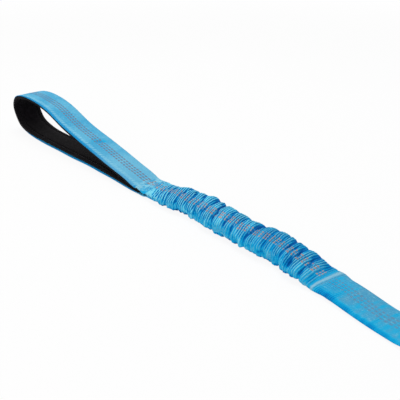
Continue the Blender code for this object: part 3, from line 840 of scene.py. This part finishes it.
def make_bar_tacks(cloth, material):
    """Three bars of zigzag stitches across the neck, laid on the cloth as it lies and sunk in it."""
    surface = surface_of(cloth)
    reach, pitch = 8.6, 0.62
    for bar in (1, 2, 3):
        y = np.arange(-reach, reach + 0.1, pitch)
        x = np.full_like(y, neck_length * bar / 4)
        z = np.array([over_cloth(surface, a, b, 50, -1) for a, b in zip(x, y)])
        slope = np.where(np.arange(len(y)) % 2 == 0, 1.0, -1.0)
        centres = np.stack([x, y, z - 0.02], axis=1)
        runs = np.stack([np.full_like(y, 1.6), slope * pitch, slope * np.gradient(z)], axis=1)
        ups = np.tile([0.0, 0.0, 1.0], (len(y), 1))
        piece = stitches(f"neck_stitches_{bar}", centres, runs, ups, *tack_stitch, material)
        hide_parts(f"neck_bar_tack_{bar}")
        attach(piece, "handle")


# The bungee section and the strap


def make_sleeve(material):
    """The gathered sleeve: fine ribs in puffs between slanted folds."""
    last = sleeve_end + np.array([-0.1, 0.05, 0.2, 0.4])
    x = np.append(np.arange(loop_cloth_end, sleeve_end - fine_row, fine_row), last)[:, None]

    # Its columns are spaced evenly round a section of its mean size
    mean_wide, mean_tall, columns = 14.4, 6.4, 104
    turn = np.linspace(0, 2 * math.pi, 2400, endpoint=False)
    way = way_along(np.stack([mean_wide * bent(np.cos(turn)), mean_tall * bent(np.sin(turn))], axis=1))
    turn = np.interp(np.linspace(0, way[-1], columns, endpoint=False), way, turn)[None, :]
    q, t = bent(np.cos(turn)), bent(np.sin(turn))

    inset, painted_shade = gather(x, q, np.sin(turn))
    wide, tall, aside = tube_size(x)
    tuck = 1.1 * ramp(x, sleeve_end - 0.1, sleeve_end + 0.4)
    y = (wide - inset - tuck) * q + aside
    z = tube_middle(x) + (tall - inset - tuck) * t
    points = np.stack([np.broadcast_to(x, y.shape), y, np.maximum(z, 0)], axis=-1)
    along = cloth_run(rib_phase(x, q, np.sin(turn)))
    across = wide * q - tracer_shift(x) * np.sign(t)
    piece = cloth_piece("gathered_webbing", points, along, across, material, painted_shade)
    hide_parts("gathered_sleeve")
    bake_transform(piece)


def make_band(material):
    """The sewn band where the gathers end: a raised ridge across the cloth, with a painted highlight on it.
    """
    rows = 36
    share = np.linspace(0, 1, rows)[:, None]
    step = band_length / (rows - 1)
    heading = -strap_turn * ramp(share, 0, 1)
    x = sleeve_end + 0.05 + np.cumsum(np.cos(heading) * step, axis=0) - step
    y = np.cumsum(np.sin(heading) * step, axis=0)
    q, t = flat_tube(turns(72), 3.0)
    way = share * band_length
    ridge, trough = hump(way, 3.5, 1.5), hump(way, 0.6, 0.7)
    grow = 0.35 * ridge - 0.25 * trough
    wide = cloth_half + band_spread + 0.3 * grow
    y = y + np.cos(heading) * (wide * q + band_aside)
    x = x - np.sin(heading) * (wide * q + band_aside)
    z = np.maximum(band_half_height + (band_half_height + grow) * t, 0)
    along = cloth_run(np.interp(sleeve_end + 0.05, steps_x, rib_count)) + way
    across = wide * q - 0.6 * np.sign(t)
    # A painted highlight on the ridge, and painted shade in the trough at the band's start
    pale = 0.12 - 0.55 * ridge * (1 + 0.2 * drift(way, y, 2, 3, 45)) + 0.25 * trough
    piece = cloth_piece("seam_band", np.stack([x, y, z], axis=-1), along, across, material, pale)
    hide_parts("sleeve_end_band")
    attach(piece, "bungee_end")


def on_strap(s, across, z):
    """A place in the strap's own run: s along it from the band, and across it."""
    c, n = math.cos(strap_turn), -math.sin(strap_turn)
    x, y = band_end[0] + s * c - across * n, band_end[1] + s * n + across * c
    return np.stack(np.broadcast_arrays(x, y, z), axis=-1)


def strap_height(s):
    """Height of the strap's middle over the ground, and its half thickness."""
    half = 1.3 + 0.8 * ramp(s, 45, 0) + 0.35 * hump(s, 14, 11)
    rise = (bite_axis - strap_low) * ramp(s, 53.5, bite_fold_at)
    return half - 0.1 + rise, half


def strap_wrinkles(s, q):
    """The last fine ribs of the gathers, which fade out along the strap."""
    phase = s / 1.25 + 0.7 * drift(s, 12 * q, 6, 5, 41) + 0.5 * q * q
    near = (0.25 + 0.75 * ramp(q, 0.5, -0.4)) * (0.7 + 0.5 * drift(s, 12 * q, 4, 5, 47))
    fading = ramp(s, 0, 2) * (1 - 0.5 * ramp(s, 0, 20)) * ramp(s, 60, 15)
    return 0.4 * (1 - np.abs(np.sin(np.pi * phase)) ** 0.8) * fading * near


# The cloth is still gathered past the band, so its tracer dashes stand closer there
strap_run = np.arange(-2, 115, 0.1)
strap_way = np.cumsum(0.1 * (1 + 0.6 * ramp(strap_run, 70, 0)))


def strap_part(name, start, stop, material):
    """A length of the flattened tube past the band."""
    s = np.minimum(np.arange(start, stop + fine_row, fine_row), stop)[:, None]
    q, t = flat_tube(turns(72), 2.8)
    middle, half = strap_height(s)
    lean = np.arctan((strap_height(s + 0.1)[0] - strap_height(s - 0.1)[0]) / 0.2)

    # Puffed up past the band, the tube is narrower than it is where it lies flat
    by_band = ramp(s, 7, 0)
    puffed = (1 - by_band) * ramp(s, 64, 34)
    uneven = 0.15 * drift(s, 0 * s, 14, 9, 42) * (1 - by_band)
    wide = cloth_half - 0.5 * puffed + band_spread * by_band + uneven
    aside = band_aside * by_band - puffed
    soft = 0.3 * drift(s, 12 * q, 12, 7, 43) * ramp(s, 90, 60) * ramp(s, 0, 4)
    wrinkles = strap_wrinkles(s, q)
    tall = half + soft * (t > 0) - wrinkles * (t > -0.2)
    height = np.maximum(middle + np.cos(lean) * tall * t, 0)
    points = on_strap(s - np.sin(lean) * tall * t, wide * q + aside, height)

    along = cloth_run(np.interp(band_end[0], steps_x, rib_count)) + np.interp(s, strap_run, strap_way)
    across = wide * q - 0.6 * ramp(s, 40, 0) * np.sign(t) + 0.5 * drift(s, 12 * q, 5, 8, 48)
    mottle = 0.16 * drift(s, 12 * q, 2.2, 6, 44) + 0.12 * drift(s, 12 * q, 9, 5, 46)
    # Painted shade on the near side wall, where the strap leaves the band
    painted_edge_shade = 0.42 * ramp(q, -0.72, -0.96) * ramp(s, 0, 6)
    # Painted shade in the wrinkles, tone that differs at random, and the band ridge's painted highlight
    # running on past its end
    painted_shade = 1.9 * wrinkles + mottle + painted_edge_shade + 0.04 - 0.5 * hump(s, -1.8, 1.5)
    painted_shade = painted_shade * (1 - 0.6 * ramp(s, 45, 75))
    piece = cloth_piece(name, points, along, across, material, painted_shade)
    return piece


def make_strap(material):
    """The strap in two lengths: the near one, which lies flat, and the far one, which rises to the bite
    sleeve.
    """
    place = lambda s, z: tuple(float(v) * MM for v in on_strap(np.float64(s), 0.0, z))
    near = strap_part("strap_near", -0.3, 50.0, material)
    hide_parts("strap_webbing")
    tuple(place(0.0, 1.2))
    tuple(place(12.0, 1.2))
    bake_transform(near)
    far = strap_part("strap_far", 50.0, bite_mouth_at + 6, material)
    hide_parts("strap_tail")
    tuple(place(89.0, bite_axis))
    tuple(place(104.0, bite_axis))
    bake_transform(far)


# The bite sleeve


def bite_size(u):
    """Half width and half height of the bite sleeve at a distance u from its mouth."""
    near = ramp(u, 22, 68)
    far = ramp(u, bite_length - 57, bite_length - 11)
    sizes = ((20, 23), (2.9, 2))
    return [mouth + (bite_radius - mouth) * near + (end - bite_radius) * far for mouth, end in sizes]


def make_bite_jacket(material):
    """The stuffed canvas sleeve: round in the middle, puckered where it is sewn flat at its ends."""
    u = np.arange(0, bite_length + 1)[:, None]
    turn = turns(120)
    q, t = flat_tube(turn, 2.15)
    wide, tall = bite_size(u)
    ends = hump(u, 42, 20) + hump(u, 163, 19)
    pleats = np.sin(turn * 13 + 2.2 * drift(u, turn * 8, 30, 6, 61))
    pleats = pleats * (0.5 + 0.5 * drift(turn * 8, u * 0, 2.5, 9, 62))
    soft = 0.55 * drift(u, turn * 12, 22, 10, 63) + 0.2 * drift(u, turn * 16, 7, 6, 64)
    side_seam = hump(turn, math.radians(205), 1.1 / bite_radius) * ramp(u, 14, 34) * ramp(u, 186, 166)
    swell = 0.75 * ends * pleats + soft * ramp(u, 8, 38) * ramp(u, 192, 162) - 0.5 * side_seam
    swell = swell * np.minimum(1, tall / 8)
    y = (wide + swell) * q
    z = bite_axis + (tall + swell) * t
    body = on_strap(bite_mouth_at + u, y, np.maximum(z, 0.0))

    # The mouth turns in over the strap: how far in, half width and half height
    lips = np.array([(6.0, 13.1, 1.75), (0.3, 13.3, 1.8), (-0.25, 13.9, 2.0), (-0.25, 19.4, 2.7)])
    lip_u, lip_w, lip_h = lips[:, :1], lips[:, 1:2], lips[:, 2:]
    lip_q, lip_t = flat_tube(turn, 3.2)
    lips = on_strap(bite_mouth_at + lip_u, lip_w * lip_q, bite_axis + lip_h * lip_t)
    tail_u = np.array([[bite_length + 0.2]])
    tail = on_strap(bite_mouth_at + tail_u, (wide[-1] - 0.3) * q, bite_axis + 0.2 * t)
    points = np.concatenate([lips, body, tail])
    along = np.concatenate([lip_u, u, tail_u])
    piece = cloth_piece("bite_sleeve_jacket", points, along, turn * bite_radius, material)
    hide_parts("bite_jacket")
    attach(piece, "bite_sleeve")


def make_binding(material):
    """The tape folded over the sleeve's flat end."""
    half_width, half_height, thick = 23.2, 2.9, 0.9
    bend = np.linspace(math.pi / 2, -math.pi / 2, 9)[1:-1]
    top = np.linspace(bite_length - 10.7, bite_length + 0.2, 12)
    flat = np.full_like(top, half_height)
    u = np.concatenate([top, top[-1] + half_height * np.cos(bend), top[::-1]])
    v = np.concatenate([flat, half_height * np.sin(bend), -flat])
    line = np.stack([u, v], axis=1)
    share, inner = flat_cloth(41, 11, 1.01)
    y = share * half_width
    set_in = thick * inner - 0.15 * drift(line[:, :1], y, 6, 5, 71)
    place = line[:, :, None] - inward(line)[:, :, None] * set_in[:, None, :]
    points = on_strap(bite_mouth_at + place[:, 0], y, bite_axis + place[:, 1])
    way = way_along(line)[:, None]
    piece = close_ends(cloth_piece("end_binding_tape", points, y, way + 6, material))
    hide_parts("end_binding")
    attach(piece, "bite_sleeve")


def make_bite_seams(material):
    """Rows of stitches across the mouth and through the binding, on both faces."""
    mouth, end, pitch = 5.0, bite_length - 5.5, 3.0
    rows = (
        ("mouth_stitches", "mouth_seam", mouth, 12.5, bite_size(np.array(mouth))[1]),
        ("end_stitches", "end_seam", end, 20.0, 2.95),
    )
    for stem, node, u, reach, tall in rows:
        for name, side in (("top", 1), ("underside", -1)):
            y = np.arange(-reach + 1.2, reach, pitch)
            centres = on_strap(bite_mouth_at + u, y, bite_axis + side * (tall + 0.03))
            runs = on_strap(0.0, np.ones(len(y)), 0.0) - on_strap(0.0, np.zeros(len(y)), 0.0)
            ups = np.tile([0.0, 0.0, float(side)], (len(y), 1))
            piece = stitches(f"{stem}_{name}", centres, runs, ups, *bite_stitch, material)
            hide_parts(f"{node}_{name}")
            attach(piece, "bite_sleeve")


# Pieces

# The first colour of each webbing is the painted highlight on its crests
webbing = polyester_webbing("woven polyester webbing", "#87C8E0", "#62B5D8", dashes=0.8, edges=True)
gathered_colours = (gathered_highlight, gathered_ground, gathered_tracer)
plump = {"dashes": 1.1, "dash_ends": (0.9, 0.35)}
gathered_cloth = polyester_webbing("gathered polyester webbing", *gathered_colours, **plump)
strap_cloth = polyester_webbing("pressed polyester webbing", "#8CBFD6", "#4F9FC4", dashes=0.38)
band_cloth = polyester_webbing("stitched polyester webbing", "#8CBFD6", "#4F9FC4")
tape = polyester_webbing("polyester binding tape", "#8CD4EC", "#62B5D8")

# Neoprene faced with a fine black knit: it swallows light and shows only a soft edge
foam = mottled("knit-faced neoprene", "#0B090C", "#141115", 0.0008, skin(0.85, 0.06, 0.02))

# Twisted polyester thread: round and a little glossy
blue_thread = mottled("blue polyester thread", "#2D8CC8", "#6DB9DD", 0.0006, skin(0.5, 0.3))
black_thread = mottled("black polyester thread", "#0C0C0E", "#17171A", 0.0006, skin(0.5, 0.12))
canvas = nylon_canvas("black nylon canvas")

# What the covers hide: braid and rubber round the elastic, and loose fibre
matt = skin(0.7, 0.3)
braid = mottled("black elastic braid", "#0C0C0E", "#2B2C31", 0.0009, matt)
rubber = mottled("natural rubber strands", "#A98C5C", "#C9AF80", 0.002, matt)
fibre = mottled("polyester fibre filling", "#C9C3B4", "#F0ECE2", 0.003, matt, strength=1.0, depth=0.001)

loop_cloth = make_loop_cloth(webbing)
make_sleeve(gathered_cloth)
make_band(band_cloth)
make_strap(strap_cloth)
make_pad_seams(*make_pad(loop_cloth, foam), black_thread)
make_bar_tacks(loop_cloth, blue_thread)
make_bite_jacket(canvas)
make_binding(tape)
make_bite_seams(black_thread)

inside = {
    "elastic_tail_near": braid,
    "elastic_tail_far": braid,
    "cord_cover_left": braid,
    "cord_cover_right": braid,
    "cord_rubber_left": rubber,
    "cord_rubber_right": rubber,
    "bite_filling": fibre,
}
for node, material in inside.items():
    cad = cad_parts[node]
    cad.data.materials.clear()
    cad.data.materials.append(material)


# Stage, light and camera


def seen_straight(tree):
    """1 for what the camera sees, in gloss and through glass too, and 0 for what lights the toy."""
    rays = ("Is Camera Ray", "Is Glossy Ray", "Is Transmission Ray")
    seen = [add(tree, "LightPath", out=ray) for ray in rays]
    return add(tree, "Math", (add(tree, "Math", seen[:2]), seen[2]), use_clamp=True)


def make_stage():
    """Matt white paper: the camera sees it nearly white, and it keeps a soft shadow."""
    made = bpy.data.materials.new("white paper floor")
    tree = emptied(made)
    paper = {"Base Color": colour("#F2F2F2"), **skin(0.9, 0.1)}
    white = {"Color": (1, 1, 1, 1), "Strength": 1.0}
    far = add(tree, "VectorMath", (add(tree, "TexCoord", out="Object"),), out="Value", operation="LENGTH")
    cover = add(tree, "MapRange", (far, 0.5, 1.4, 0.9, 1.0), interpolation_type="SMOOTHSTEP")
    share = add(tree, "Math", (seen_straight(tree), cover), operation="MULTIPLY")
    mixed = add(tree, "MixShader", (share, add(tree, "BsdfPrincipled", paper), add(tree, "Emission", white)))
    add(tree, "OutputMaterial", {"Surface": mixed})
    mesh = bpy.data.meshes.new("floor")
    mesh.from_pydata([(-6, -6, 0), (6, -6, 0), (6, 6, 0), (-6, 6, 0)], [], [(0, 1, 2, 3)])
    mesh.materials.append(made)
    floor = placed("floor", mesh)

    # A little lower than the toy, so that no face of the cloth lies in the paper's
    floor.location.z = -0.0003


def softbox(name, place, size, watts):
    """A square soft light that faces the middle of the toy."""
    light = bpy.data.lights.new(name, "AREA")
    light.shape = "SQUARE"
    light.size = size
    light.energy = watts
    lamp = placed(name, light)
    lamp.location = place
    lamp.rotation_euler = (Vector((0.05, 0, 0)) - Vector(place)).to_track_quat("-Z", "Y").to_euler()


def make_light():
    """A plain white studio with a light above and one in front."""
    world = bpy.data.worlds.new("studio")
    bpy.context.scene.world = world
    tree = emptied(world)
    glows = [add(tree, "Background", {"Color": (1, 1, 1, 1), "Strength": glow}) for glow in (0.42, 1.0)]
    add(tree, "OutputWorld", {"Surface": add(tree, "MixShader", (seen_straight(tree), *glows))})
    softbox("key", (-0.3, 0.15, 1.2), 0.6, 8)
    softbox("fill", (0.5, -1.0, 0.7), 0.8, 5)


def make_camera():
    """The photograph's own view, found from the outlines of the loop and the bungee section."""
    image, focal, middle = 400, 616.35, (199.007, 200.153)
    turn, rise = math.radians(50.006), math.radians(24.803)
    away = Vector((math.sin(turn) * math.cos(rise), -math.cos(turn) * math.cos(rise), math.sin(rise)))
    right = Vector((math.cos(turn), math.sin(turn), 0))
    data = bpy.data.cameras.new("camera")
    data.sensor_width = 36
    data.lens = focal * data.sensor_width / image
    data.shift_x = 0.5 - middle[0] / image
    data.shift_y = middle[1] / image - 0.5
    data.clip_start = 0.01
    camera = placed("camera", data)
    seen, distance = Vector((0.034609, 0.016776, 0)), 0.454013
    axes = Matrix((right, away.cross(right), away)).transposed()
    camera.matrix_world = Matrix.Translation(seen + away * distance) @ axes.to_4x4()
    bpy.context.scene.camera = camera


make_stage()
make_light()
make_camera()
bpy.context.scene.view_settings.view_transform = "Standard"
